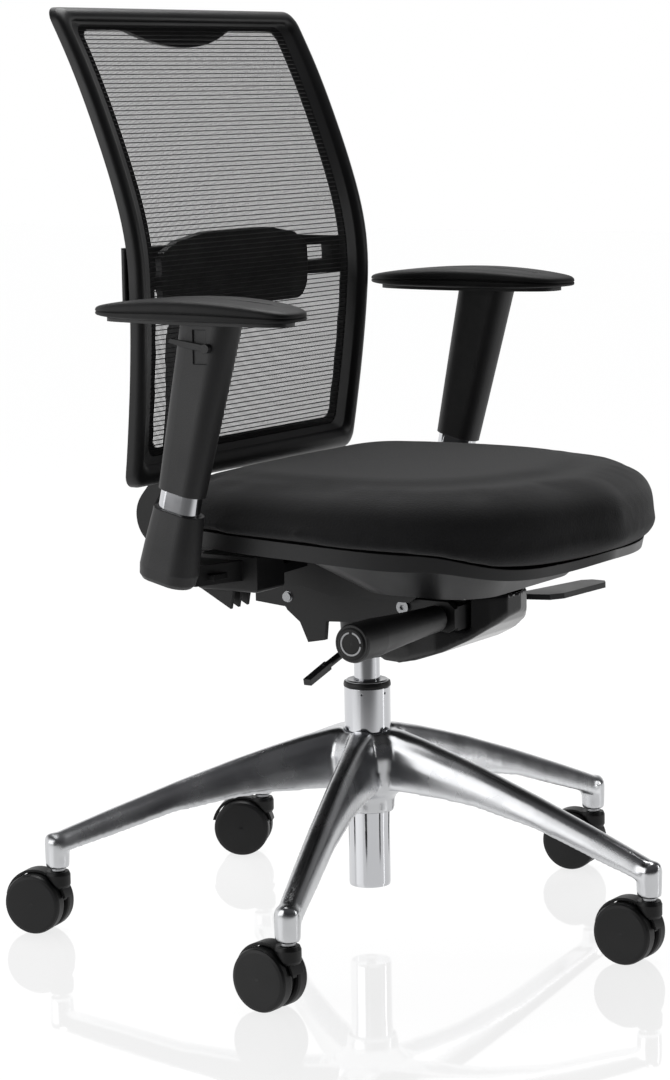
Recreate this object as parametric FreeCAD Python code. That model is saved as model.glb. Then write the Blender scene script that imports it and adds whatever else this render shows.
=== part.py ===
import FreeCAD, Part
import math
import os

V = FreeCAD.Vector
os.makedirs("parts", exist_ok=True)

# Driving dimensions, millimetres. Origin on the floor under the column, sitter faces -Y, +Z up.
STEM_R = 338.0
ARM_ANGLES = (126.0, 198.0, 270.0, 342.0, 54.0)
TRAIL_ANGLES = (100.8, 86.0, 89.2, 97.0, 115.0)
WHEEL_R = 32.5
TRAIL = 23.0
WHEEL_IN, WHEEL_OUT = 4.2, 21.5
AXLE_R = 4.0
STEM_PIN_R = 5.5
TUBE_R = 25.0
TUBE_TOP = 262.0
GAS_R = 14.0
GAS_TOP = 345.0
ROD_R = 5.0
RUN_FIT = 0.05
WALL_IN, WALL_OUT = 69.0, 75.0
BACK_PIVOT = (51.0, 366.0)
SEAT_PIVOT = (-93.0, 366.0)
LINK_PIN = (122.0, 385.0)
KNOB_AXIS = (-135.0, 358.0)
PLATE_Z0, PLATE_Z1 = 414.0, 418.0
FRAME_HALF, FRAME_FOOT_HALF = 222.4, 212.3
FRAME_TOP, FRAME_BOTTOM = 986.0, 491.5
FRAME_DEPTH = 15.0
BACK_CURVE = ((470, 148.5), (540, 138.4), (620, 129.6), (690, 125.6), (740, 128.2), (790, 139.4),
    (860, 164.0),
              (930, 194.0), (1010, 236.0))
CROSSBAR_HALF, CROSSBAR_Z, CROSSBAR_RISE = 118.0, 945.0, 24.0
ARM_X = 274.0
ARM_FOOT = (65.0, 408.0)
ARM_LEAN = 13.14
PAD_X = 265.0
PAD_Z = 675.0
SEAT_HALF = 240.0
CUSHION_TOP = 508.5


def save(shape, name):
    """Write one finished piece."""
    shape.exportStep("parts/%s.step" % name)
    print(name, "solids", len(shape.Solids), "valid", shape.isValid(), "cm3 %.1f" % (shape.Volume / 1000))


def box(x0, x1, y0, y1, z0, z1):
    return Part.makeBox(x1 - x0, y1 - y0, z1 - z0, V(x0, y0, z0))


def cyl(radius, start, end):
    start, end = V(*start), V(*end)
    return Part.makeCylinder(radius, (end - start).Length, start, end - start)


def rod_x(radius, x0, x1, y, z):
    return cyl(radius, (x0, y, z), (x1, y, z))


def face_of(points, smooth=False):
    """A flat face from corner points, or from a smooth closed curve through them."""
    vs = [V(*p) for p in points]
    if smooth:
        curve = Part.BSplineCurve()
        curve.interpolate(vs, PeriodicFlag=True)
        return Part.Face(Part.Wire(curve.toShape()))
    return Part.Face(Part.makePolygon(vs + [vs[0]]))


def side_plate(points, x0, x1, smooth=False):
    """Profile given as (y, z), extruded across the chair."""
    return face_of([(x0, y, z) for y, z in points], smooth).extrude(V(x1 - x0, 0, 0))


def plan_plate(points, z0, z1, smooth=False):
    """Profile given as (x, y), extruded upward."""
    return face_of([(x, y, z0) for x, y in points], smooth).extrude(V(0, 0, z1 - z0))


def front_plate(points, y0, y1):
    """Profile given as (x, z), extruded front to back."""
    return face_of([(x, y0, z) for x, z in points]).extrude(V(0, y1 - y0, 0))


def band(upper, lower, x0, x1):
    """A band between two smooth side curves given as (y, z), joined by straight ends."""
    edges = []
    for pts in (upper, lower):
        curve = Part.BSplineCurve()
        curve.interpolate([V(x0, y, z) for y, z in pts])
        edges.append(curve.toShape())
    ends = [Part.makeLine(V(x0, *upper[i]), V(x0, *lower[i])) for i in (0, -1)]
    wire = Part.Wire(Part.__sortEdges__(edges + ends))
    return Part.Face(wire).extrude(V(x1 - x0, 0, 0))


def fuse(shapes):
    first = shapes[0]
    return first.fuse(shapes[1:]).removeSplitter() if len(shapes) > 1 else first


def mirror(shape):
    return shape.mirror(V(0, 0, 0), V(1, 0, 0))


def both(shape):
    return [shape, mirror(shape)]


def spun(points, axis_point=(0, 0, 0), axis=(0, 0, 1)):
    """Solid of revolution from (radius, height) points about a vertical line, then re-aimed."""
    face = face_of([(r, 0, h) for r, h in points])
    solid = face.revolve(V(0, 0, 0), V(0, 0, 1), 360)
    turn = FreeCAD.Rotation(V(0, 0, 1), V(*axis))
    solid.Placement = FreeCAD.Placement(V(*axis_point), turn)
    return solid


def soften(shape, edges, radius):
    """Round edges, with a smaller radius or none where the full one cannot be made."""
    for r in (radius, radius * 0.6, radius * 0.3):
        try:
            out = shape.makeFillet(r, edges)
            if out.isValid() and out.Volume > 0:
                return out
        except Exception:
            continue
    print("left sharp, radius", radius)
    return shape


# ---- base ----
ARM_SECTIONS = (
    (26, 216.5, 157, 15, 10), (38, 217, 154, 21.5, 12), (70, 209.5, 152, 21, 9),
    (140, 186.5, 146, 17.5, 7.5), (211, 160.5, 131, 16, 7), (282, 133.5, 106, 14.5, 7),
    (341, 109, 88, 13.5, 6.5),
)


def arm_section(r, top, bottom, foot, crown, wall=0.0):
    h = top - bottom
    ys = (foot - wall, foot * 0.96 - wall, crown + (foot - crown) * 0.5 - wall,
        max(crown - wall * 0.6, 1.5))
    zs = (bottom - (6 if wall else 0), bottom + 0.25 * h, bottom + 0.76 * h - wall * 0.6, top - wall)
    right = [(r, y, z) for y, z in zip(ys, zs)]
    left = [(r, -y, z) for y, z in reversed(list(zip(ys, zs)))]
    pts = [V(*p) for p in right + left]
    return Part.makePolygon(pts + [pts[0]])


def star_arm(wall=0.0):
    rows = ARM_SECTIONS
    if wall:
        rows = ((46, 215, 153, 21.2, 11),) + ARM_SECTIONS[2:6] + ((322, 118, 90, 13.5, 6.5),)
    return Part.makeLoft([arm_section(*row, wall=wall) for row in rows], True, False)


def turned(shape, angle):
    out = shape.copy()
    out.rotate(V(0, 0, 0), V(0, 0, 1), angle)
    return out


def make_star():
    star = spun([(0, 124), (25.5, 124), (26, 142), (41, 155), (41, 192), (35, 207), (27, 214), (0, 214)])
    socket = spun([(0, 71), (12.5, 71), (13.5, 84), (14, 104), (11, 110), (0, 111)], (STEM_R, 0, 0))
    arm = star_arm().cut(star_arm(3.4)).fuse(socket)
    for a in ARM_ANGLES:
        star = star.fuse(turned(arm, a))
    bore = spun([(0, 100), (22.5, 100), (22.5, 106), (25, 205), (25, 220), (0, 220)])
    pins = [turned(cyl(STEM_PIN_R, (STEM_R, 0, 60), (STEM_R, 0, 99)), a) for a in ARM_ANGLES]
    return star.cut(bore).cut(pins)


def make_column():
    tube = spun([
        (22.0, 43), (22.5, 46), (22.5, 106), (25, 205), (TUBE_R, TUBE_TOP - 1), (24.4, TUBE_TOP),
        (22.8, TUBE_TOP), (22.8, 205), (20.6, 106), (20.6, 51), (5.6, 51), (5.6, 47), (20.6, 47),
            (20.6, 43),
    ])
    holes = [cyl(1.4, (0, 0, 256), (30 * math.cos(a), 30 * math.sin(a), 256)) for a in (-2.83, -1.733)]
    return tube.cut(holes)


def make_collar():
    return spun([(23.4, 262.1), (25.4, 262.1), (25.6, 264), (25.0, 267), (23.4, 267.6)])


def make_bush():
    lip = [(22.75, 200), (22.75, 262.05), (23.3, 262.1), (23.3, 268.2), (21.5, 269.4), (15.5, 268.6)]
    return spun([(GAS_R + RUN_FIT, 200)] + lip + [(GAS_R + RUN_FIT, 267.6)])


def make_bearing():
    return spun([(5.6, 51), (14, 51), (14, 57), (5.6, 57)])


def make_rod():
    return spun([
        (0, 40), (4.2, 40), (ROD_R, 41), (ROD_R, 43.2), (4.0, 43.2), (4.0, 45), (ROD_R, 45), (ROD_R, 57.3),
        (9, 57.3), (9, 60), (ROD_R, 60), (ROD_R, 172), (12.4, 172), (12.4, 184), (0, 184),
    ])


def make_stems():
    """The five steel castor stems, each with a flange under its socket."""
    stem = spun([
        (0, 60.2), (4.5, 60.2), (STEM_PIN_R, 61.2), (STEM_PIN_R, 68.4), (8, 68.4), (8, 70.9),
            (STEM_PIN_R, 70.9),
        (STEM_PIN_R, 97), (4.5, 98), (0, 98),
    ], (STEM_R, 0, 0))
    return Part.makeCompound([turned(stem, a) for a in ARM_ANGLES])


# ---- castors ----
def castor_frame(index):
    """Stem foot point and the turn that takes local +X to the trailing direction."""
    a = math.radians(ARM_ANGLES[index])
    place = FreeCAD.Placement(V(STEM_R * math.cos(a), STEM_R * math.sin(a), 0),
                              FreeCAD.Rotation(V(0, 0, 1), TRAIL_ANGLES[index]))
    return place


def placed(shape, index):
    out = shape.copy()
    out.Placement = castor_frame(index).multiply(out.Placement)
    return out


def rod_y(radius, x, z, y0, y1):
    return cyl(radius, (x, y0, z), (x, y1, z))


def make_hood():
    web = rod_y(27, TRAIL, WHEEL_R, -3.4, 3.4)
    collar = spun([(0, 50), (12, 50), (13.5, 53), (13.5, 64), (12, 67.6), (0, 67.6)])
    bridge = box(-8, 14, -3.4, 3.4, 36, 60)
    fender = rod_y(36.4, TRAIL, WHEEL_R, -9, 9).cut(rod_y(33.4, TRAIL, WHEEL_R, -10, 10))
    fender = fender.common(box(-20, 60, -10, 10, 40, 90))
    hood = fuse([web, collar, bridge, fender])
    hood = hood.cut(fuse([rod_y(33.4, TRAIL, WHEEL_R, 3.4, 40), rod_y(33.4, TRAIL, WHEEL_R, -40, -3.4)]))
    stem_bore = cyl(STEM_PIN_R + RUN_FIT, (0, 0, 59.8), (0, 0, 80))
    return hood.cut([stem_bore, rod_y(AXLE_R, TRAIL, WHEEL_R, -10, 10)])


def make_axle():
    return rod_y(AXLE_R, TRAIL, WHEEL_R, -18.5, 18.5)


def make_wheel(side):
    r = AXLE_R + RUN_FIT
    disc = spun([
        (r, WHEEL_IN), (28.5, WHEEL_IN), (31.6, 5.0), (WHEEL_R, 7.5), (WHEEL_R, 17), (31.2, 19.6),
        (28.0, 20.6), (24, 20.8), (0, WHEEL_OUT), (0, 19.0), (r, 19.0),
    ], (TRAIL, 0, WHEEL_R), (0, side, 0))
    return disc


# ---- lift and mechanism ----
def make_gas():
    outer = [(GAS_R, 85), (GAS_R, 300), (13.4, GAS_TOP - 1), (12.6, GAS_TOP)]
    inner = [(4.15, GAS_TOP), (4.15, 330), (12.5, 326), (12.5, 93), (ROD_R + RUN_FIT, 93)]
    return spun([(ROD_R + RUN_FIT, 85)] + outer + inner)


def make_valve():
    return spun([(0, 329), (4.1, 329), (4.1, 354), (3.4, 355), (0, 355)])


WALL_OUTLINE = (
    (52, 352), (56, 360), (56, 378), (45, 391), (17, 391), (-6, 376), (-146, 375), (-154, 368), (-154, 348),
    (-146, 343), (-76, 352), (-29, 345), (3, 343), (5, 323), (26, 319), (36, 340),
)


def make_housing():
    walls = both(side_plate(WALL_OUTLINE, WALL_IN, WALL_OUT))
    floor = box(-WALL_IN, WALL_IN, -150, 22, 345, 351)
    front = box(-WALL_IN, WALL_IN, -154, -148, 345, 370)
    boss = spun([(0, 296), (24, 296), (26, 300), (29, 345), (0, 345)])
    lug = box(-66, -50, -50, -30, 317, 345)
    ribs = [box(x - 2, x + 2, -110, -24, 330, 345) for x in (-18, 18)]
    knob_boss = both(rod_x(15, 52, 69, *KNOB_AXIS))
    body = fuse(walls + [floor, front, boss, lug] + ribs + knob_boss)
    bore = spun([(0, 290), (GAS_R, 290), (GAS_R, 300), (13.4, GAS_TOP - 1), (13.4, 352), (0, 352)])
    cuts = [bore, rod_x(5 + RUN_FIT, -80, -45, *KNOB_AXIS), rod_x(4 + RUN_FIT, 45, 80, *KNOB_AXIS),
            rod_x(4 + RUN_FIT, -70, -45, -40, 326)]
    for x0, x1 in ((68, 76), (-76, -68)):
        cuts += [rod_x(5, x0, x1, *SEAT_PIVOT), rod_x(6, x0, x1, *BACK_PIVOT)]
    return body.cut(cuts)


def make_pins():
    """Two seat pivots with hexagon recesses and two back pivots with plain heads."""
    front = fuse([rod_x(5, 60, 75, *SEAT_PIVOT), rod_x(7, 75, 78.5, *SEAT_PIVOT)])
    y, z = SEAT_PIVOT
    hexagon = [(y + 3 * math.cos(math.radians(a)),
        z + 3 * math.sin(math.radians(a))) for a in range(0, 360, 60)]
    front = front.cut(side_plate(hexagon, 76, 80))
    rear = fuse([rod_x(6, 58, 75, *BACK_PIVOT), rod_x(5, 75, 77.8, *BACK_PIVOT)])
    return Part.makeCompound(both(front) + both(rear))


BELLY_OUTLINE = (
    (-56, 344), (-56, 309), (-62, 305), (-80, 304), (-99, 308), (-130, 318.5), (-155, 331), (-178, 347),
    (-192, 361), (-199, 375), (-199, 378), (-158, 380), (-158, 344),
)


def bow(grow_by):
    """Rounded bow of the belly cover in plan."""
    half = [(66, -40), (66, -92), (64, -124), (56, -151), (40, -173), (20, -186)]
    right = [(x + grow_by, y - grow_by * (y < -150)) for x, y in half]
    nose = [(0, -190 - grow_by)]
    return plan_plate(right + nose + [(-x, y) for x, y in reversed(right)], 290, 400)


def make_belly():
    outer = side_plate(BELLY_OUTLINE, -66, 66).common(bow(0))
    inner = [(-59, 350), (-59, 312), (-64, 308.5), (-80, 307.5), (-98, 311.3), (-128, 322), (-152, 334),
             (-174, 350), (-188, 364), (-194, 376), (-194, 390), (-161, 390), (-161, 350)]
    return outer.cut(side_plate(inner, -62, 62).common(bow(-3.5)))


def make_height_lever():
    y, z = KNOB_AXIS
    shaft = rod_x(4, 50, 96, y, z)
    paddle = plan_plate([(86, -129), (112, -139), (198, -156), (207, -165), (206, -181), (196,
        -187), (112, -181),
                         (96, -172), (86, -142)], 353.5, 359.5)
    return fuse([shaft, paddle])


def make_lock_lever():
    shaft = rod_x(4, -84, -47, -40, 326)
    bend = cyl(4, (-84, -40, 326), (-148, -40, 309))
    joint = Part.makeSphere(4, V(-84, -40, 326))
    tip = front_plate([(-140, 314.5), (-140, 307), (-178.5, 296.5), (-180, 303)], -44.5, -35.5)
    return fuse([shaft, joint, bend, tip])


def make_knob():
    y, z = KNOB_AXIS
    prof = [(5, 82), (14, 82), (14.2, 100), (16.3, 150), (18.6, 190), (19.6, 205), (19.6, 241), (18.6, 244),
            (16.2, 244), (16.2, 240), (5, 240)]
    return spun(prof, (0, y, z), (-1, 0, 0))


def make_knob_cap():
    y, z = KNOB_AXIS
    cap = spun([(0, 240), (16.1, 240), (16.1, 244), (14, 245.2), (0, 245.6)], (0, y, z), (-1, 0, 0))
    ring = spun([(10.2, 244.9), (11.6, 244.9), (11.6, 246), (10.2, 246)], (0, y, z), (-1, 0, 0))
    gaps = fuse([box(-250, -240, y - 1.2, y + 1.2, z, z + 14), box(-250, -240, y - 14, y, z - 1.2,
        z + 1.2)])
    return cap.cut(ring.cut(gaps))


def make_tension_shaft():
    y, z = KNOB_AXIS
    return fuse([rod_x(5, -239, -48, y, z), rod_x(6.4, -51.5, -46, y, z)])


# ---- back ----
def frame_front(z):
    """Front face of the back as a depth for each height, smooth through BACK_CURVE."""
    pts = BACK_CURVE
    i = max(k for k in range(len(pts) - 1) if z >= pts[k][0] or k == 0)
    (z0, y0), (z1, y1) = pts[i], pts[i + 1]

    def slope(k):
        lo, hi = max(k - 1, 0), min(k + 1, len(pts) - 1)
        return (pts[hi][1] - pts[lo][1]) / (pts[hi][0] - pts[lo][0])

    h = z1 - z0
    t = (z - z0) / h
    m0, m1 = slope(i) * h, slope(i + 1) * h
    return ((2 * t ** 3 - 3 * t ** 2 + 1) * y0 + (t ** 3 - 2 * t ** 2 + t) * m0
            + (3 * t ** 2 - 2 * t ** 3) * y1 + (t ** 3 - t ** 2) * m1)


def frame_half(z):
    return FRAME_HALF - max(0.0, 700.0 - z) / 200.0 * (FRAME_HALF - FRAME_FOOT_HALF)


def back_band(front_gap, rear_gap, z0=470, z1=1010, half=240):
    zs = [z0 + (z1 - z0) * i / 14.0 for i in range(15)]
    return band([(frame_front(z) + front_gap, z) for z in zs], [(frame_front(z) + rear_gap, z) for z in zs],
                -half, half)


def window(inset, z0, z1, radius, foot_extra=0.0):
    """Rounded prism running front to back, set in from the frame's outer edge."""
    half = [(frame_half(z0) - inset - foot_extra, z0), (frame_half(700) - inset, 700),
        (frame_half(z1) - inset, z1)]
    raw = front_plate(half + [(-x, z) for x, z in reversed(half)], 40, 320)
    corner = [e for e in raw.Edges if abs(e.tangentAt(e.FirstParameter).y) > 0.9
              and abs(e.CenterOfMass.z - 700) > 50]
    return raw.makeFillet(radius, corner)


def make_frame():
    outer = back_band(0, FRAME_DEPTH).common(window(0, FRAME_BOTTOM, FRAME_TOP, 15))
    steps = [back_band(-8, 4.5).common(window(17, 509, 971, 12)), back_band(-8,
        8.5).common(window(25, 515, 967, 12)),
             back_band(-8, 12.9).common(window(32.5, 520, 963, 12)), back_band(-8,
                 40).common(window(42, 531, 953, 12))]
    frame = outer.cut(steps)
    return frame.cut([cyl(2.2, (x, 120, z), (x, 180, z)) for x in (-214, 214) for z in (699, 728)])


def make_crossbar():
    """The bowed bar behind the mesh, hung from the top rail."""
    arc = [(CROSSBAR_HALF * math.sin(a),
        CROSSBAR_Z + CROSSBAR_RISE * (1 - math.cos(a)) / (1 - math.cos(1.1)))
           for a in [1.1 * i / 8.0 for i in range(-8, 9)]]
    upper = [(x, z + 9 + 5 * (x / CROSSBAR_HALF) ** 2) for x, z in arc]
    bar = front_plate(arc + list(reversed(upper)), 150, 280)
    hangers = [front_plate([(s * 70, 955), (s * 92, 955), (s * 92, 975), (s * 70, 975)], 150,
        280) for s in (-1, 1)]
    slab = back_band(FRAME_DEPTH + 3, FRAME_DEPTH + 11, 930, 1000, 140)
    body = bar.fuse(hangers).common(slab)
    feet = [front_plate([(s * 70, 966), (s * 92, 966), (s * 92, 978), (s * 70, 978)], 150,
        280) for s in (-1, 1)]
    foot_slab = back_band(FRAME_DEPTH, FRAME_DEPTH + 8, 930, 1000, 140)
    return body.fuse([f.common(foot_slab) for f in feet])


def make_mesh():
    return back_band(11.4, 12.5).common(window(32.8, 520.3, 962.7, 11.7))


SPINE_REAR = ((100, 374), (150, 378), (205, 387), (248, 398), (270, 412), (278, 430), (276, 448),
    (260, 470),
              (243, 505), (236, 545), (234, 600), (229, 645), (214, 678), (207, 705), (206, 738))
SPINE_FRONT = ((100, 394), (150, 397), (200, 405), (238, 417), (254, 430), (254, 444), (242, 464),
    (226, 500),
               (220, 545), (218, 600), (213, 640), (198, 674), (191, 703), (190.1, 738))


def make_carrier():
    spine = band(SPINE_REAR, SPINE_FRONT, -32, 32)
    web = box(-60, 60, 100, 134, 374, 394)
    lug = side_plate([(40, 354), (62, 354), (97, 357), (97, 371), (134, 374), (134, 396), (97,
        395), (62, 381),
                      (40, 378)], 60, 67.5)
    lug = fuse([lug, rod_x(15, 60, 67.5, *BACK_PIVOT), rod_x(4, 60, 75.5, *LINK_PIN)])
    lug = lug.cut(rod_x(6 + RUN_FIT, 55, 80, *BACK_PIVOT))
    body = fuse([spine, web] + both(lug))
    return body.cut([cyl(3, (x, 180, z), (x, 220, z)) for x in (-16, 16) for z in (712, 728)])


def make_yoke():
    plate = box(-60, 60, 174, 190, 676, 738)
    plate = soften(plate, [e for e in plate.Edges if abs(e.tangentAt(0).y) > 0.9], 12)
    plan = plan_plate([(50, 174), (143, 170), (160, 158), (186, 145), (204, 144), (204, 150), (190, 156),
                       (165, 172), (146, 182), (50, 188)], 680, 745)
    beam = front_plate([(50, 736), (50, 684), (120, 692), (208, 694), (208, 733), (120, 738)], 130, 200)
    gap = front_plate([(142, 725), (142, 707), (178, 709), (178, 725)], 130, 200)
    block = box(200, 223, 143.8, 150, 686, 741)
    block = soften(block, [e for e in block.Edges if abs(e.CenterOfMass.x - 223) < 0.1], 2.5)
    body = fuse([plate] + both(fuse([beam.common(plan).cut(gap), block])))
    holes = [cyl(2.2, (x, 120, z), (x, 200, z)) for x in (-214, 214) for z in (699, 728)]
    holes += [cyl(3, (x, 170, z), (x, 200, z)) for x in (-16, 16) for z in (712, 728)]
    return body.cut(holes)


def make_screws():
    """Four frame screws and four upright screws."""
    out = []
    for x in (-214, 214):
        for z in (699, 728):
            out.append(fuse([cyl(2.2, (x, 131, z), (x, 150, z)), cyl(4.2, (x, 150, z), (x, 152, z))]))
    for x in (-16, 16):
        for z in (712, 728):
            out.append(fuse([cyl(3, (x, 178, z), (x, 206, z)), cyl(6, (x, 206, z), (x, 209, z))]))
    return Part.makeCompound(out)


def make_lumbar():
    curve = [(-140, 158), (-90, 155.5), (0, 154), (90, 155.5), (140, 158)]
    back = [(140, 166), (90, 166.5), (0, 167), (-90, 166.5), (-140, 166)]
    pad = plan_plate(curve + back, 668, 750)
    corner = [e for e in pad.Edges if abs(e.tangentAt(e.FirstParameter).x) < 0.5
              and abs(e.tangentAt(e.FirstParameter).y) > 0.8]
    pad = soften(pad, corner, 26)
    arch = [(-150, 660), (-150, 712), (-136, 731), (-112, 742), (-60, 749.5), (0, 752), (60,
        749.5), (112, 742),
            (136, 731), (150, 712), (150, 660)]
    pad = pad.common(front_plate(arch, 140, 180))
    guide = both(box(8, 26, 166, 173.4, 690, 728))
    return fuse([pad] + guide)


# ---- seat ----
def make_seat_plate():
    plate = plan_plate([(-92, -118), (92, -118), (100, -108), (100, 14), (130, 26), (130, 140), (120, 150),
                        (-120, 150), (-130, 140), (-130, 26), (-100, 14), (-100, -108)], PLATE_Z0, PLATE_Z1)
    guides = both(box(122, 126, 30, 126, PLATE_Z1, 430))
    y, z = SEAT_PIVOT
    front = fuse([box(61, 67.4, y - 11.5, y + 11.5, z, PLATE_Z0), rod_x(11.5, 61, 67.4, y, z)])
    front = front.cut(rod_x(5 + RUN_FIT, 50, 80, y, z))
    ly, lz = LINK_PIN
    rear = side_plate([(ly - 16, 414), (ly - 16, 382), (ly - 10, 374), (ly + 10, 374), (ly + 16, 382),
                       (ly + 16, 414)], 70.5, 74)
    slot = fuse([rod_x(4.5, 60, 80, ly - 1, lz), rod_x(4.5, 60, 80, ly + 3, lz),
                 box(60, 80, ly - 1, ly + 3, lz - 4.5, lz + 4.5)])
    flange = side_plate([(-112, PLATE_Z0 + 1), (-112, 378), (-104, 372), (-6, 372), (30, 380), (84,
        382), (100, 392),
                         (100, PLATE_Z0 + 1)], 79.4, 82)
    window = box(-40, 40, -30, 70, PLATE_Z0 - 1, PLATE_Z1 + 1)
    return fuse([plate] + guides + both(flange) + both(front) + both(rear.cut(slot))).cut(window)


CUSHION_LOW = ((160, 460.5), (60, 456.5), (-20, 453), (-110, 449), (-175, 445.5), (-212, 442), (-246, 431),
               (-270, 425.5), (-290, 427), (-306, 432.5), (-322, 441), (-345, 452))
RIM_DEPTH = 17.6
SEAT_PLAN_HALF = (
    (0, -320), (70, -306), (115, -293), (159, -271), (200, -231), (226, -178), (238, -118), (240,
        -50), (238, 10),
    (230, 70), (212, 115), (178, 137), (120, 142), (0, 144),
)


def seat_plan(side=0.0, front=0.0, rear=0.0):
    """The seat outline in plan, drawn in by a distance at the sides, the front and the rear."""
    half = []
    for x, y in SEAT_PLAN_HALF:
        reach, inset = (260.0, front) if y < -60 else (204.0, rear)
        half.append((x * (1 - side / SEAT_HALF), -60 + (y + 60) * (1 - inset / reach)))
    return half + [(-x, y) for x, y in reversed(half[1:-1])]


def plan_wire(points, z):
    curve = Part.BSplineCurve()
    curve.interpolate([V(x, y, z) for x, y in points], PeriodicFlag=True)
    return Part.Wire(curve.toShape())


def make_shell():
    plan = Part.makeLoft([plan_wire(seat_plan(13, 27, 12), 395), plan_wire(seat_plan(6, 8, 5),
        470)], True, True)
    low = [(y, z - 0.4) for y, z in CUSHION_LOW]
    under = [(y, z - RIM_DEPTH * min(1.0, max(0.5, (y + 420) / 230))) for y, z in CUSHION_LOW]
    slab = band(low, under, -260, 260).common(plan)
    inner = plan_plate(seat_plan(17, 31, 16), 370, 480, True)
    floor = [(y, z - 4.6) for y, z in CUSHION_LOW]
    deep = [(y, z - 50) for y, z in CUSHION_LOW]
    tray = slab.cut(band(floor, deep, -260, 260).common(inner))
    rails = both(box(104, 121.4, -112, 128, PLATE_Z1 + 0.6, 447))
    above = [(y, 540) for y, z in CUSHION_LOW]
    skirt = make_skirt().cut(band(low, above, -260, 260))
    return fuse([tray, skirt] + rails).cut(box(-103, 103, -178, 60, 370, 470))


def ring_wire(half, front, rear, z, corner):
    """Rounded rectangle in plan as a wire."""
    raw = plan_plate([(-half, front), (half, front), (half, rear), (-half, rear)], z, z + 1)
    raw = raw.makeFillet(corner, [e for e in raw.Edges if abs(e.tangentAt(e.FirstParameter).z) > 0.9])
    face = min(raw.Faces, key=lambda f: f.CenterOfMass.z)
    return face.OuterWire


def make_skirt():
    outer = Part.makeLoft([ring_wire(172, -246, 30, 436, 60), ring_wire(116, -202, -52, 385, 50)],
        True, True)
    inner = Part.makeLoft([ring_wire(168.5, -242.5, 26.5, 439, 58), ring_wire(113, -199, -55, 388,
        48)], True, True)
    return outer.cut([inner, box(-200, 200, -6, 60, 370, 431)])


def make_cushion():
    rows = ((412, 10, 24, 10), (440, 3, 6, 5), (462, 0, 0, 0), (481, 3, 4, 3), (494, 12, 15, 10),
            (503, 32, 42, 26), (CUSHION_TOP, 74, 96, 62))
    body = Part.makeLoft([plan_wire(seat_plan(*row[1:]), row[0]) for row in rows], True, False)
    above = [(y, 540) for y, z in CUSHION_LOW]
    return body.common(band(CUSHION_LOW, above, -260, 260))


def make_depth_lever():
    shaft = cyl(3, (188, -40, 429), (188, 0, 429))
    paddle = front_plate([(184, 433), (184, 424), (222, 423), (238, 426), (239, 430), (234, 433)], -30, -4)
    paddle = soften(paddle, [e for e in paddle.Edges if e.CenterOfMass.x > 236.0], 1.6)
    return fuse([shaft, paddle])


# ---- arms ----
def on_axis(s):
    a = math.radians(ARM_LEAN)
    return ARM_FOOT[0] - s * math.sin(a), ARM_FOOT[1] + s * math.cos(a)


def arm_ring(s, deep, wide, corner, x=ARM_X):
    """Rounded rectangle across the leaning arm axis, deep along the chair and wide across it."""
    raw = Part.makeBox(wide, deep, 1, V(-wide / 2, -deep / 2, 0))
    raw = raw.makeFillet(corner, [e for e in raw.Edges if abs(e.tangentAt(e.FirstParameter).z) > 0.9])
    face = min(raw.Faces, key=lambda f: f.CenterOfMass.z)
    wire = face.OuterWire
    y, z = on_axis(s)
    wire.Placement = FreeCAD.Placement(V(x, y, z), FreeCAD.Rotation(V(1, 0, 0), ARM_LEAN))
    return wire


def arm_loft(rows, x=ARM_X):
    return Part.makeLoft([arm_ring(*row, x=x) for row in rows], True, len(rows) != 3)


def make_post():
    tube = arm_loft([(14, 45, 27, 13), (238, 45, 27, 13)])
    return tube.cut(arm_loft([(20, 39, 21, 10), (246, 39, 21, 10)]))


def make_boot():
    boot = arm_loft([(2, 54, 34, 16.5), (6, 61, 40, 19.5), (16, 64, 42, 20.5), (40, 61, 40, 19.5),
        (77, 55, 34, 16.5)])
    return boot.cut(arm_loft([(14, 45, 27, 13), (90, 45, 27, 13)]))


def make_bracket():
    tongue = box(96, 240, 30, 74, 408, 413.9)
    case = box(150, 200, 5, 79, 391, 428)
    case = soften(case, [e for e in case.Edges if e.CenterOfMass.z < 400], 4)
    arm = plan_plate([(196, 22), (253.5, 44), (253.5, 77), (196, 76)], 403, 424)
    ribs = [side_plate([(86, 393), (44, 371), (40, 393)], x, x + 4) for x in (158, 174, 188)]
    under = plan_plate([(92, 14), (152, 10), (152, 76), (92, 70)], 404, 413.9)
    return fuse([tongue, case, arm, under] + ribs)


def pad_outline(inset=0.0):
    pts = [(38, 66), (43, 15), (43, -43), (38, -86), (27, -100), (6, -102), (-12, -96), (-27, -75),
           (-37, -40), (-43, 20), (-39, 80), (-27, 125), (-8, 147), (8, 147), (26, 122)]
    k = 1 - inset / 43.0
    m = 1 - inset / 130.0
    return [(PAD_X + x * k, 18 + (y - 18) * m) for x, y in pts]


def make_sleeve():
    outer = arm_loft([(97, 51, 33, 16), (180, 58, 36, 17.5), (285, 66, 39, 19)])
    plate = plan_plate(pad_outline(14), 671, PAD_Z - 0.1, True)
    hull = fuse([outer.common(box(200, 340, -200, 200, 300, 672)), plate])
    hull = hull.cut(arm_loft([(90, 45.7, 27.7, 13.3), (256, 45.7, 27.7, 13.3)]))
    y, z = -5.0, 649.0
    notch = box(ARM_X + 17.5, ARM_X + 30, y + 2, y + 18, z - 16, z + 18)
    return hull.cut([notch, rod_x(3, ARM_X + 12, ARM_X + 30, y, z)])


def make_button():
    y, z = -5.0, 649.0
    face = ARM_X + 20.4
    pin = rod_x(3 - RUN_FIT, ARM_X + 16, face + 4.5, y, z)
    knob = rod_x(4.6, face, face + 4.5, y, z)
    paddle = side_plate([(y, z + 3.2), (y + 20, z + 6), (y + 42, z + 9), (y + 44, z + 5), (y + 24, z),
                         (y, z - 3.2)], face, face + 3.5)
    return fuse([pin, knob, paddle])


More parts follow.
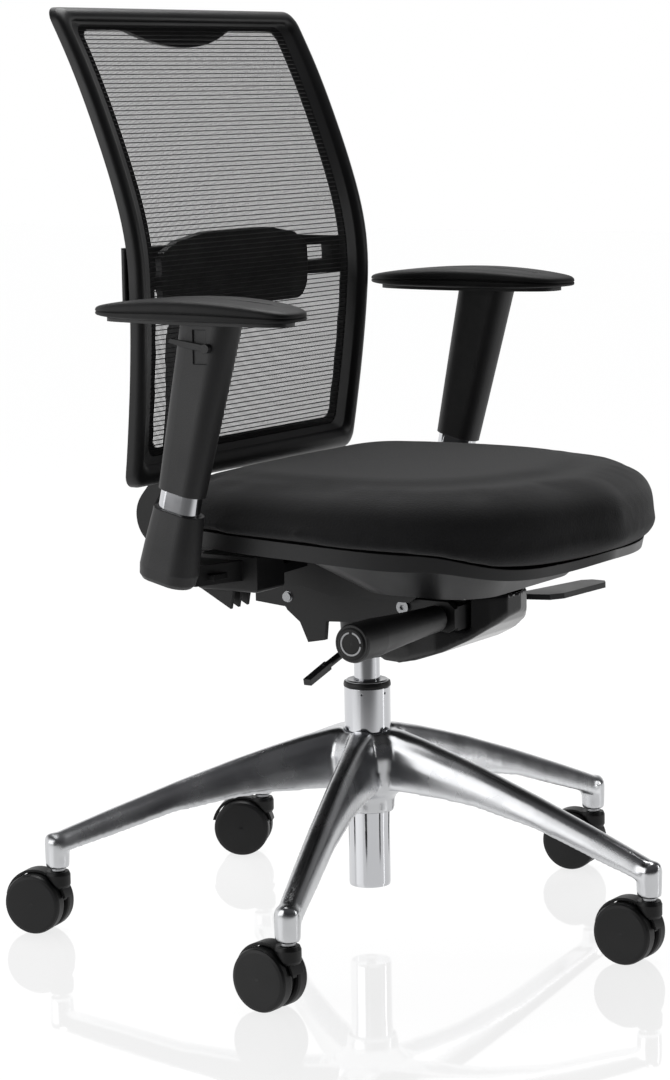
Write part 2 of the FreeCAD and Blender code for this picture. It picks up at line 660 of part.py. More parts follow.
def make_arm_pad():
    slab = plan_plate(pad_outline(), PAD_Z, 700, True)
    top = [(-112, 684), (-60, 693), (20, 696.5), (100, 693), (149, 686)]
    low = [(-112, 676), (-60, PAD_Z), (20, PAD_Z), (100, PAD_Z), (149, 677)]
    body = slab.common(band(top, low, 200, 330))
    upper = [e for e in body.Edges if e.CenterOfMass.z > 684 and e.Length > 60]
    return soften(body, upper, 5)


def main():
    save(make_star(), "star_base")
    save(make_column(), "column_tube")
    save(make_collar(), "column_collar")
    save(make_bush(), "guide_bush")
    save(make_bearing(), "thrust_bearing")
    save(make_stems(), "castor_stems")
    save(make_rod(), "piston_rod")
    save(make_gas(), "gas_cylinder")
    save(make_valve(), "valve_pin")
    hood, axle, wheels = make_hood(), make_axle(), (make_wheel(1), make_wheel(-1))
    for i, tag in enumerate("abcde"):
        save(placed(hood, i), "castor_hood_" + tag)
        save(placed(axle, i), "castor_axle_" + tag)
        save(placed(wheels[0], i), "wheel_%s_left" % tag)
        save(placed(wheels[1], i), "wheel_%s_right" % tag)
    save(make_housing(), "mechanism_housing")
    save(make_pins(), "pivot_pins")
    save(make_belly(), "belly_cover")
    save(make_height_lever(), "height_lever")
    save(make_lock_lever(), "lock_lever")
    save(make_knob(), "tension_knob")
    save(make_knob_cap(), "knob_cap")
    save(make_tension_shaft(), "tension_shaft")
    save(make_carrier(), "back_carrier")
    save(make_yoke(), "back_yoke")
    save(make_frame(), "back_frame")
    save(make_mesh(), "back_mesh")
    save(make_crossbar(), "back_crossbar")
    save(make_screws(), "back_screws")
    save(make_lumbar(), "lumbar_pad")
    save(make_seat_plate(), "seat_plate")
    save(make_shell(), "seat_shell")
    save(make_cushion(), "seat_cushion")
    save(make_depth_lever(), "depth_lever")
    pieces = (("arm_bracket", make_bracket()), ("arm_boot", make_boot()), ("arm_post", make_post()),
              ("arm_sleeve", make_sleeve()), ("arm_pad", make_arm_pad()), ("arm_button", make_button()))
    for name, shape in pieces:
        save(shape, name + "_left")
        save(mirror(shape), name + "_right")


main()
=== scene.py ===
# %% [markdown]
# # A swivel task chair, finished in Blender
# The engineering model gives every hard part its true size and place. This lesson adds what the eye
# needs: blended castings, a fabric cushion, a back of real threads, and finishes worked out from
# what each material is. Everything is in metres, with +Z up, and the sitter faces -Y.

# %% Load the frame
import math

import bmesh
import bpy
import numpy as np
from mathutils import Matrix, Vector


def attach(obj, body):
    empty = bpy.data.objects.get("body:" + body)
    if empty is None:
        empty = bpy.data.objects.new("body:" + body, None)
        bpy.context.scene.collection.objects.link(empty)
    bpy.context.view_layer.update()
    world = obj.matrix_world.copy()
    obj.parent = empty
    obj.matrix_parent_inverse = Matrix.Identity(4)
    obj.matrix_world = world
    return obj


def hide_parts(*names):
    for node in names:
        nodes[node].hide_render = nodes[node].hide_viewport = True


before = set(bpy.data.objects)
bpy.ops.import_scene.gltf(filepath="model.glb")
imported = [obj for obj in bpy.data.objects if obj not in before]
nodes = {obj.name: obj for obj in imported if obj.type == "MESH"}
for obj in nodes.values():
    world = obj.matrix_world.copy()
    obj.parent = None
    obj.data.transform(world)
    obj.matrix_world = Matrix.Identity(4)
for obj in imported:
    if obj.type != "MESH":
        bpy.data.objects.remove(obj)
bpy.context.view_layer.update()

# %% [markdown]
# ## Camera and studio
# The chair stands on a glossy white floor in a white studio. Polished metal only looks like metal
# when it has something dark and something bright to reflect, so the world is white low down behind
# the chair, dark before it on the right as the lens sees it, and dark grey higher up. A broad soft box
# hangs overhead, another stands left and a narrow one stands right.

# %% Camera
scene = bpy.context.scene
EYE = Vector((-2.75294, -1.72018, 0.90050))
RIGHT = Vector((0.53613, -0.84397, -0.01651))
UP = Vector((0.13222, 0.06465, 0.98910))
BACK = Vector((-0.83371, -0.53247, 0.14625))
LENS_MM = 102.2

lens = bpy.data.cameras.new("studio_camera")
lens.lens = LENS_MM
lens.sensor_width = 36.0
lens.clip_end = 60.0
camera = bpy.data.objects.new("studio_camera", lens)
camera.matrix_world = Matrix.Translation(EYE) @ Matrix((RIGHT, UP, BACK)).transposed().to_4x4()
scene.collection.objects.link(camera)
scene.camera = camera
scene.view_settings.view_transform = "Standard"
print("camera at", tuple(round(v, 3) for v in EYE), "lens", LENS_MM)


# %% [markdown]
# Two small helpers carry the whole lesson: one turns an sRGB hex colour to the linear values that
# shaders use, and one adds a shader node with its settings and its links.

# %% Colour and node helpers
def tint(code):
    """Linear RGBA from an sRGB hex value."""
    parts = [int(code[i:i + 2], 16) / 255 for i in (1, 3, 5)]
    return tuple(c / 12.92 if c <= 0.04045 else ((c + 0.055) / 1.055) ** 2.4 for c in parts) + (1.0,)


def add(tree, kind, settings=None, **links):
    """Add one node. settings hold properties and socket values, links hold the sources of its sockets."""
    made = tree.nodes.new(kind)
    for key, value in (settings or {}).items():
        if isinstance(key, int) or key in made.inputs:
            made.inputs[key].default_value = value
        else:
            setattr(made, key, value)
    for key, source in links.items():
        socket = made.inputs[int(key[1:])] if key[0] == "_" else made.inputs[key.replace("_", " ")]
        tree.links.new(source, socket)
    return made


# %% World and lights
DARK_SIDE = (-0.259, -0.966, 0.0)
LENS_SIDE = (-0.843, -0.527, 0.0)


def build_world():
    """White low down behind the chair, dark before it and above, plain white to the lens itself."""
    world = bpy.data.worlds.new("studio")
    world.use_nodes = True
    tree = world.node_tree
    tree.nodes.clear()
    place = add(tree, "ShaderNodeTexCoord")
    ahead = add(tree, "ShaderNodeVectorMath", {"operation": "DOT_PRODUCT", 1: DARK_SIDE},
                _0=place.outputs["Generated"])
    side = add(tree, "ShaderNodeMapRange",
               {"interpolation_type": "SMOOTHSTEP", "From Min": -0.55, "From Max": 0.35},
               Value=ahead.outputs["Value"])
    room = add(tree, "ShaderNodeMix", {"data_type": "RGBA", 6: tint("#FFFFFF"), 7: tint("#333335")},
               _0=side.outputs["Result"])
    part = add(tree, "ShaderNodeSeparateXYZ", Vector=place.outputs["Generated"])
    height = add(tree, "ShaderNodeMapRange",
                 {"interpolation_type": "SMOOTHSTEP", "From Min": 0.20, "From Max": 0.70},
                 Value=part.outputs["Z"])
    sky = add(tree, "ShaderNodeMix", {"data_type": "RGBA", 7: tint("#4C4C4E")},
              _0=height.outputs["Result"], _6=room.outputs[2])
    ray = add(tree, "ShaderNodeLightPath")
    seen = add(tree, "ShaderNodeMix", {"data_type": "RGBA", 7: tint("#FFFFFF")},
               _0=ray.outputs["Is Camera Ray"], _6=sky.outputs[2])
    glow = add(tree, "ShaderNodeBackground", {"Strength": 1.0}, Color=seen.outputs[2])
    add(tree, "ShaderNodeOutputWorld", Surface=glow.outputs[0])
    scene.world = world


def soft_box(name, place, aim, size, watts):
    """One rectangular area light aimed at a point."""
    lamp = bpy.data.lights.new(name, "AREA")
    lamp.shape, lamp.size, lamp.size_y, lamp.energy = "RECTANGLE", size[0], size[1], watts
    holder = bpy.data.objects.new(name, lamp)
    holder.location = place
    holder.rotation_euler = (Vector(aim) - Vector(place)).to_track_quat("-Z", "Y").to_euler()
    scene.collection.objects.link(holder)


build_world()
soft_box("box_over", (0.6, 0.5, 2.5), (0, 0, 0.4), (1.4, 1.4), 38)
soft_box("box_left", (-2.0, 1.0, 0.9), (0, -0.1, 0.3), (1.8, 1.3), 11)
soft_box("box_right", (1.1, -2.1, 0.9), (0, 0, 0.4), (0.22, 1.5), 6)


# %% Floor
def build_floor():
    """A white floor that glows a little, so it meets the backdrop, under a thin gloss."""
    mesh = bpy.data.meshes.new("studio_floor")
    half = 14.0
    corners = [(-half, -half, 0), (half, -half, 0), (half, half, 0), (-half, half, 0)]
    mesh.from_pydata(corners, [], [(0, 1, 2, 3)])
    floor = bpy.data.objects.new("studio_floor", mesh)
    scene.collection.objects.link(floor)
    paint = bpy.data.materials.new("white_gloss_acrylic")
    paint.use_nodes = True
    tree = paint.node_tree
    tree.nodes.clear()
    place = add(tree, "ShaderNodeTexCoord")
    reach = add(tree, "ShaderNodeVectorMath", {"operation": "DOT_PRODUCT", 1: LENS_SIDE},
                _0=place.outputs["Object"])
    sheet = add(tree, "ShaderNodeMapRange",
                {"interpolation_type": "SMOOTHSTEP", "From Min": 0.6, "From Max": 1.3, "To Min": 0.86,
                 "To Max": 0.10}, Value=reach.outputs["Value"])
    ray = add(tree, "ShaderNodeLightPath")
    level = add(tree, "ShaderNodeMix", {"data_type": "FLOAT", 3: 0.97}, _0=ray.outputs["Is Camera Ray"],
                _2=sheet.outputs["Result"])
    glow = add(tree, "ShaderNodeEmission", {"Color": tint("#FFFFFF")}, Strength=level.outputs[0])
    matt = add(tree, "ShaderNodeBsdfDiffuse", {"Color": tint("#6E6E6E")})
    base = add(tree, "ShaderNodeAddShader", _0=glow.outputs[0], _1=matt.outputs[0])
    shine = add(tree, "ShaderNodeBsdfGlossy", {"Color": tint("#FFFFFF"), "Roughness": 0.03})
    mix = add(tree, "ShaderNodeMixShader", {0: 0.16}, _1=base.outputs[0], _2=shine.outputs[0])
    add(tree, "ShaderNodeOutputMaterial", Surface=mix.outputs[0])
    mesh.materials.append(paint)


build_floor()


# %% [markdown]
# ## Finishes
# Each finish starts from what the real material is and how its surface was made. A finish has one
# shader, a fine bump for its grain, and a slow variation of roughness, because no moulded or
# polished surface is the same all over. Edges catch light through a small bevel in the shader.

# %% Finish builder
def new_finish(name, colour, rough, metallic=0.0, edge_mm=0.8, **sockets):
    """A material with its shader, its object coordinates and an edge-rounding normal."""
    paint = bpy.data.materials.new(name)
    paint.use_nodes = True
    tree = paint.node_tree
    tree.nodes.clear()
    shader = add(tree, "ShaderNodeBsdfPrincipled", {"Base Color": tint(colour), "Roughness": rough,
                                                    "Metallic": metallic})
    for key, value in sockets.items():
        shader.inputs[key.replace("_", " ")].default_value = value
    add(tree, "ShaderNodeOutputMaterial", Surface=shader.outputs[0])
    place = add(tree, "ShaderNodeTexCoord").outputs["Object"]
    edge = add(tree, "ShaderNodeBevel", {"samples": 4, "Radius": edge_mm / 1000}).outputs[0]
    return paint, tree, shader, place, edge


def grain(tree, place, size_mm, depth_mm, normal, strength=1.0, kind="ShaderNodeTexNoise"):
    """A bump whose features are about size_mm wide."""
    scale = 1000 / size_mm * (0.5 if kind == "ShaderNodeTexNoise" else 1.0)
    texture = add(tree, kind, {"Scale": scale}, Vector=place)
    height = texture.outputs[0]
    return add(tree, "ShaderNodeBump", {"Strength": strength, "Distance": depth_mm / 1000},
               Height=height, Normal=normal)


def vary(tree, place, size_mm, low, high, target):
    """A slow noise that moves a value between low and high."""
    cloud = add(tree, "ShaderNodeTexNoise", {"Scale": 1000 / size_mm, "Detail": 3.0}, Vector=place)
    spread = add(tree, "ShaderNodeMapRange",
                 {"From Min": 0.3, "From Max": 0.7, "To Min": low, "To Max": high}, Value=cloud.outputs[0])
    tree.links.new(spread.outputs[0], target)


# %% [markdown]
# **Polished die-cast aluminium** for the base: a bright, faintly warm metal, ground and buffed along
# each arm, so its mirror is a little soft and its highlights have streaks. **Chrome plate** for the
# column and the arm posts is a cleaner and darker mirror.

# %% Metals
def metal(name, colour, low, high, streak_mm, depth_mm, edge_mm=0.8):
    paint, tree, shader, place, edge = new_finish(name, colour, low, 1.0, edge_mm)
    vary(tree, place, 40, low, high, shader.inputs["Roughness"])
    tree.links.new(grain(tree, place, streak_mm, depth_mm, edge).outputs[0], shader.inputs["Normal"])
    return paint


FINISH = {
    "aluminium": metal("polished_cast_aluminium", "#CFD0D2", 0.19, 0.30, 14, 0.05, 1.5),
    "chrome": metal("chrome_plate", "#D2D3D6", 0.07, 0.13, 30, 0.01, 0.4),
    "steel": metal("zinc_plated_steel", "#A9AAAC", 0.24, 0.36, 2.5, 0.01, 0.4),
}


# %% [markdown]
# **Moulded plastics.** The frame and arms are glass-filled nylon with a fine spark-eroded grain, the
# wheels are smoother satin nylon, the mechanism's nose cover is glossy ABS and the arm pads are soft
# polyurethane. Moulded grain is usually about half a millimetre. Here it is drawn one to three
# millimetres wide so that it shows.

# %% Plastics
def plastic(name, colour, low, high, grain_mm, depth_mm, edge_mm=1.0, **sockets):
    paint, tree, shader, place, edge = new_finish(name, colour, low, 0.0, edge_mm, **sockets)
    vary(tree, place, 60, low, high, shader.inputs["Roughness"])
    bump = grain(tree, place, grain_mm, depth_mm, edge, kind="ShaderNodeTexVoronoi")
    tree.links.new(bump.outputs[0], shader.inputs["Normal"])
    return paint


FINISH.update({
    "nylon": plastic("grained_black_nylon", "#1A1A1B", 0.36, 0.46, 1.5, 0.06, IOR=1.45),
    "arm": plastic("grained_arm_nylon", "#222223", 0.44, 0.54, 1.6, 0.08, 1.5, IOR=1.5),
    "painted": plastic("satin_black_paint_on_steel", "#101011", 0.38, 0.48, 2.2, 0.04, 0.8, IOR=1.42),
    "gloss": plastic("glossy_black_abs", "#111112", 0.14, 0.22, 3.0, 0.01, 1.2, IOR=1.52),
    "castor": plastic("satin_black_nylon", "#0A0A0B", 0.40, 0.50, 1.6, 0.03, 1.0, IOR=1.4),
    # The "print" finish is painted reflection: the light grey that stands for the shine of the chrome ring on
    # the knob.
    "print": plastic("light_grey_painted_reflection", "#B9BABC", 0.40, 0.50, 1.0, 0.01, 0.1, IOR=1.45),
    "pad": plastic("soft_black_polyurethane", "#0C0C0D", 0.55, 0.65, 1.2, 0.05, 1.5, IOR=1.4),
})


# %% [markdown]
# **Seat cloth** is a crepe weave in black polyester: such knots are usually about a millimetre apart
# and are drawn at 1.7 so that they show, noise makes the yarn uneven, and sheen lifts the edges where
# loose fibres stand up. **Back cloth** is black polyester yarn, already real geometry.

# %% Cloths
def seat_cloth():
    paint, tree, shader, place, edge = new_finish("woven_black_polyester", "#0E0E0F", 0.9, 0.0, 2.0,
                                                  Sheen_Weight=0.12, Sheen_Roughness=0.5, IOR=1.45)
    knots = add(tree, "ShaderNodeTexVoronoi", {"Scale": 1000 / 1.7, "Randomness": 0.8}, Vector=place)
    fuzz = add(tree, "ShaderNodeTexNoise", {"Scale": 420.0, "Detail": 4.0}, Vector=place)
    height = add(tree, "ShaderNodeMath", {"operation": "ADD"},
                 _0=knots.outputs["Distance"], _1=fuzz.outputs[0])
    bump = add(tree, "ShaderNodeBump", {"Strength": 0.55, "Distance": 0.0005},
               Height=height.outputs[0], Normal=edge)
    tree.links.new(bump.outputs[0], shader.inputs["Normal"])
    shade = add(tree, "ShaderNodeMix", {"data_type": "RGBA", 6: tint("#0B0B0C"), 7: tint("#1A1A1C")},
                _0=fuzz.outputs[0])
    tree.links.new(shade.outputs[2], shader.inputs["Base Color"])
    return paint


def thread_cloth():
    paint, tree, shader, place, edge = new_finish("black_polyester_yarn", "#101011", 0.7, 0.0, 0.2,
                                                  Sheen_Weight=0.05, IOR=1.4)
    fibres = grain(tree, place, 0.8, 0.05, edge)
    tree.links.new(fibres.outputs[0], shader.inputs["Normal"])
    vary(tree, place, 25, 0.65, 0.8, shader.inputs["Roughness"])
    return paint


FINISH["seat_cloth"] = seat_cloth()
FINISH["yarn"] = thread_cloth()
print("finishes", len(FINISH))

# %% [markdown]
# ## Parts that keep their engineering shape
# Most hard parts are already right, so they only get a finish. The table below names the finish of
# each family of parts by how its name starts.

# %% Dress the carried parts
DRESS = {
    "column_tube": "chrome", "column_collar": "castor", "guide_bush": "steel", "thrust_bearing": "steel",
    "castor_stems": "steel", "piston_rod": "steel", "gas_cylinder": "chrome", "mechanism_housing": "painted",
    "pivot_pins": "steel", "valve_pin": "steel", "height_lever": "nylon", "lock_lever": "nylon",
    "tension_knob": "nylon", "knob_cap": "castor", "tension_shaft": "steel", "back_carrier": "painted",
    "back_yoke": "nylon", "back_crossbar": "nylon", "back_screws": "steel", "lumbar_pad": "nylon",
    "seat_plate": "painted", "seat_shell": "nylon", "depth_lever": "nylon", "arm_bracket": "painted",
    "arm_boot": "arm", "arm_post": "chrome", "arm_sleeve": "arm", "arm_button": "nylon",
    "castor_hood": "castor", "castor_axle": "steel", "wheel": "castor",
}


def dress(node):
    """Give one carried part its finish."""
    starts = sorted((start for start in DRESS if node.startswith(start)), key=len)
    kind = DRESS[starts[-1]] if starts else None
    if kind:
        mesh = nodes[node].data
        for i in range(max(1, len(mesh.materials))):
            if i < len(mesh.materials):
                mesh.materials[i] = FINISH[kind]
            else:
                mesh.materials.append(FINISH[kind])
    return kind


kinds = [dress(name) for name in nodes]
print("dressed", sum(k is not None for k in kinds), "of", len(kinds))


# %% [markdown]
# ## Mesh helpers
# New pieces are plain meshes made from lists of points, one ring of points after another. `skin`
# joins rings to a quad surface, and `settle` gives it a body and hides the part it stands for.

# %% Mesh helpers
def make_piece(name, points, faces, kind, smooth_angle=35):
    mesh = bpy.data.meshes.new(name)
    mesh.from_pydata([tuple(p) for p in points], [], faces)
    mesh.materials.append(FINISH[kind])
    mesh.validate()
    piece = bpy.data.objects.new(name, mesh)
    scene.collection.objects.link(piece)
    tidy_mesh(mesh, smooth_angle)
    return piece


def tidy_mesh(mesh, smooth_angle=35):
    """Merge doubles, turn faces outwards, and shade smooth up to an angle."""
    bm = bmesh.new()
    bm.from_mesh(mesh)
    bmesh.ops.remove_doubles(bm, verts=bm.verts, dist=2e-6)
    bmesh.ops.recalc_face_normals(bm, faces=bm.faces)
    bm.to_mesh(mesh)
    bm.free()
    mesh.shade_smooth()
    mesh.set_sharp_from_angle(angle=math.radians(smooth_angle))


def skin(rings, close_ends=True, closed_path=False):
    """Points and quads that join equal rings of points in order."""
    count = len(rings[0])
    points = [p for ring in rings for p in ring]
    pairs = list(zip(range(len(rings) - 1), range(1, len(rings))))
    if closed_path:
        pairs.append((len(rings) - 1, 0))
    faces = [(a * count + i, a * count + (i + 1) % count, b * count + (i + 1) % count, b * count + i)
             for a, b in pairs for i in range(count)]
    if close_ends and not closed_path:
        faces += [tuple(range(count)), tuple((len(rings) - 1) * count + i for i in range(count))]
    return points, faces


def settle(piece, body, slot, *replaced):
    """Apply the piece's modifiers, then say where it rides and what it stands for."""
    solid = bpy.data.meshes.new_from_object(piece.evaluated_get(bpy.context.evaluated_depsgraph_get()))
    piece.modifiers.clear()
    piece.data = solid
    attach(piece, body)
    if replaced:
        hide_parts(*replaced)
    print(piece.name, "faces", len(solid.polygons))
    return piece


# %% [markdown]
# ## The cast base
# The real base is one casting: its arms flow into the hub with generous fillets. The engineering
# solid has the right sections but sharp meetings. Here each arm is drawn again as a run of smooth
# rings with a hollow underside, five are set round a hub, and the whole is wrapped in one even mesh
# and relaxed, which joins and rounds everything the way casting and polishing do.

# %% Blended castings
def shell_of(node):
    """The points and faces of a carried part."""
    source = nodes[node].data
    return [v.co.copy() for v in source.vertices], [tuple(p.vertices) for p in source.polygons]


def blended(points, faces, node, name, kind, voxel_mm, rounds, body, slot):
    """Closed shapes wrapped in one even mesh and relaxed so that their edges flow."""
    piece = make_piece(name, points, faces, kind, 180)
    wrap = piece.modifiers.new("wrap", "REMESH")
    wrap.mode, wrap.voxel_size, wrap.use_smooth_shade = "VOXEL", voxel_mm / 1000, True
    relax = piece.modifiers.new("relax", "SMOOTH")
    relax.factor, relax.iterations = 0.5, rounds
    return settle(piece, body, slot, node)


# %% Star base rings
ARM_ROWS = ((27, 217.5, 155, 20, 11), (38, 216.5, 154, 21, 11.5), (70, 208.5, 152, 20.2, 9.2),
            (105, 197.8, 150, 18.8, 8.0), (140, 186.5, 146, 17.5, 7.6), (211, 160.8, 131, 15.9, 7.1),
            (282, 133.0, 106, 14.6, 7.0), (325, 115.5, 92, 13.8, 6.8), (339, 109.5, 86, 13.4, 6.6))
ARM_ANGLES = (126.0, 198.0, 270.0, 342.0, 54.0)
STEM_R = 338.0
TIP_REACH, TIP_FOOT, TIP_CROWN = 13.2, 13.4, 6.6


def arm_ring(r, top, low, foot, crown, hollow):
    """One closed ring across an arm: rounded crown, flaring sides and a recess of the given depth below."""
    h = top - low
    mid = crown + 0.46 * (foot - crown)
    half = ((foot - 0.9, low), (foot, low + 1.6), (foot * 0.975, low + 0.22 * h),
            (foot * 0.90, low + 0.45 * h), (mid, low + 0.74 * h), (crown + 0.9, top - 0.11 * h),
            (crown - 0.4, top - 0.035 * h), (crown * 0.5, top))
    roof = low + hollow * (h - 6.5)
    inner = ((foot - 4.6, low), (foot - 5.0, low + hollow * 0.25 * h), (mid - 4.6, low + hollow * 0.62 * h),
             (max(mid - 8.0, 1.2), roof))
    right = [(r, y, z) for y, z in reversed(inner)] + [(r, y, z) for y, z in half]
    return right + [(x, -y, z) for x, y, z in reversed(right)]


def arm_solid(angle):
    """One arm with a rounded tip, turned to its place."""
    rows = np.array(ARM_ROWS, float)
    rings = []
    for r in list(np.linspace(27, 330, 44)) + [334, 338]:
        at = [float(np.interp(r, rows[:, 0], rows[:, k])) for k in range(1, 5)]
        hollow = float(np.interp(r, (52, 62, 305, 318), (0, 1, 1, 0)))
        rings.append(arm_ring(r, *at, hollow))
    for turn in (22, 42, 60, 75, 86):
        c, q = math.cos(math.radians(turn)), math.sin(math.radians(turn))
        rings.append(arm_ring(STEM_R + TIP_REACH * q, 110.0 - 5.0 * (1 - c), 86.0,
                              max(TIP_FOOT * c, 1.6), max(TIP_CROWN * c, 0.8), 0))
    points, faces = skin(rings)
    a = math.radians(angle)
    return [((x * math.cos(a) - y * math.sin(a)) / 1000, (x * math.sin(a) + y * math.cos(a)) / 1000, z / 1000)
            for x, y, z in points], faces


def turned_solid(profile, centre, count=48):
    """A closed ring turned from (radius, height) points about an upright line."""
    rings = [[(centre[0] + r * math.cos(a) / 1000, centre[1] + r * math.sin(a) / 1000, h / 1000)
              for r, h in profile] for a in np.linspace(0, 2 * math.pi, count, endpoint=False)]
    return skin(rings, closed_path=True)


HUB = ((25.6, 124.4), (26.6, 123.8), (27.6, 126), (28.4, 141), (40, 151), (43, 160), (43, 190), (39, 203),
       (30, 214.4), (26.4, 215.2), (25.6, 214.4))
SOCKET = ((5.7, 71.2), (12.2, 71.0), (12.9, 73), (13.3, 84), (13.6, 100), (11.5, 106), (5.7, 106))


def merged(parts):
    """Several point-and-face lists as one."""
    points, faces = [], []
    for more, sides in parts:
        faces += [tuple(i + len(points) for i in f) for f in sides]
        points += list(more)
    return points, faces


stems = [(STEM_R * math.cos(math.radians(a)) / 1000, STEM_R * math.sin(math.radians(a)) / 1000)
         for a in ARM_ANGLES]
points, faces = merged([turned_solid(HUB, (0, 0), 96)] + [arm_solid(a) for a in ARM_ANGLES]
                       + [turned_solid(SOCKET, s, 40) for s in stems])
base = blended(points, faces, "star_base", "cast_base", "aluminium", 2.2, 10, "base", "polished_aluminium")
blended(*shell_of("belly_cover"), "belly_cover", "nose_cover", "gloss", 2.0, 10, "mechanism", "gloss_black")


# %% [markdown]
# ## The back frame
# One closed moulding: a rounded bead runs round the outside, then a crease, then a flange that slopes
# back to the cloth. Each loop of the frame is a rounded rectangle drawn in by a distance and pushed
# back by a depth, and the whole frame bows with the back's side curve.

# %% Back curve
BACK_CURVE = ((470, 148.5), (540, 138.4), (620, 129.6), (690, 125.6), (740, 128.2), (790, 139.4),
              (860, 164.0), (930, 194.0), (1010, 236.0))
FRAME_HALF, FRAME_FOOT_HALF = 222.4, 212.3
FRAME_TOP, FRAME_BOTTOM = 986.0, 491.5


def back_y(z):
    """Depth of the back's front face at a height, in millimetres."""
    pts = BACK_CURVE
    i = max(k for k in range(len(pts) - 1) if z >= pts[k][0] or k == 0)
    (z0, y0), (z1, y1) = pts[i], pts[i + 1]

    def slope(k):
        lo, hi = max(k - 1, 0), min(k + 1, len(pts) - 1)
        return (pts[hi][1] - pts[lo][1]) / (pts[hi][0] - pts[lo][0])

    h = z1 - z0
    t = (z - z0) / h
    return ((2 * t ** 3 - 3 * t ** 2 + 1) * y0 + (t ** 3 - 2 * t ** 2 + t) * slope(i) * h
            + (3 * t ** 2 - 2 * t ** 3) * y1 + (t ** 3 - t ** 2) * slope(i + 1) * h)


def back_half(z):
    return FRAME_HALF - max(0.0, 700.0 - z) / 200.0 * (FRAME_HALF - FRAME_FOOT_HALF)


# %% Frame moulding
def frame_loop(inset, depth):
    """One loop of the frame: inset from the outer edge, depth behind the front face."""
    top = FRAME_TOP - np.interp(inset, (0, 17, 25, 32.5, 42), (0, 14, 16, 18, 23))
    low = FRAME_BOTTOM + np.interp(inset, (0, 17, 25, 32.5, 42), (0, 22.5, 27, 30.5, 38))
    r = float(np.interp(inset, (0, 17, 42), (15, 12, 11)))
    sides, rails, bend = 44, 14, 7
    right = [(back_half(z) - inset, z) for z in np.linspace(low + r, top - r, sides)]
    half_top, half_low = back_half(top - r) - inset, back_half(low + r) - inset
    corner_top = [(half_top - r + r * math.cos(a), top - r + r * math.sin(a))
                  for a in np.linspace(0, math.pi / 2, bend + 2)[1:-1]]
    corner_low = [(half_low - r + r * math.cos(a), low + r + r * math.sin(a))
                  for a in np.linspace(-math.pi / 2, 0, bend + 2)[1:-1]]
    top_rail = [(x, top) for x in np.linspace(half_top - r, -(half_top - r), rails)]
    low_rail = [(x, low) for x in np.linspace(-(half_low - r), half_low - r, rails)]
    left = [(-x, z) for x, z in reversed(corner_low + right + corner_top)]
    loop = low_rail + corner_low + right + corner_top + top_rail + left
    return [(x / 1000, (back_y(z) + depth) / 1000, z / 1000) for x, z in loop]


FRAME_ROWS = ((0, 15), (0, 8), (0.5, 5.2), (1.6, 3.0), (3.4, 1.3), (5.8, 0.3), (8.4, 0), (11, 0.6),
              (13.4, 2.0), (15.4, 4.0), (16.6, 6.0), (17.4, 7.2), (18.6, 7.7), (25, 9.2), (31.8, 11.0),
              (32.4, 12.6), (33.4, 13.0), (42, 13.2), (42, 15))
points, faces = skin([frame_loop(d, w) for d, w in FRAME_ROWS], closed_path=True)
back_frame = make_piece("back_frame_moulding", points, faces, "nylon", 50)
settle(back_frame, "back", "black_plastic", "back_frame")

# %% [markdown]
# Behind the top rail hangs a thin web whose lower edge is bowed. It stands for the stiffener that a
# rail like this usually has, and it shows through the cloth as a dark crescent.

# %% Rail web
def web_ring(x):
    low, high = 945.0 + 22.0 * (x / 105.0) ** 2, 974.0
    return [(x / 1000, (back_y(z) + depth) / 1000, z / 1000)
            for z, depth in ((low, 18.0), (high, 18.0), (high, 26.0), (low, 26.0))]


points, faces = skin([web_ring(x) for x in np.linspace(-105, 105, 43)])
settle(make_piece("rail_web", points, faces, "nylon"), "back", "black_plastic", "back_crossbar")


# %% [markdown]
# ## The back cloth
# The cloth is open: thick flat yarns run across, about five millimetres apart, and fine yarns tie
# them up and down. Real threads give a real see-through, which no pattern on a flat sheet does, and
# the widths chosen for them set how much light comes through.
# Two runs of Geometry Nodes repeat one thread along the back's side curve and across its width.

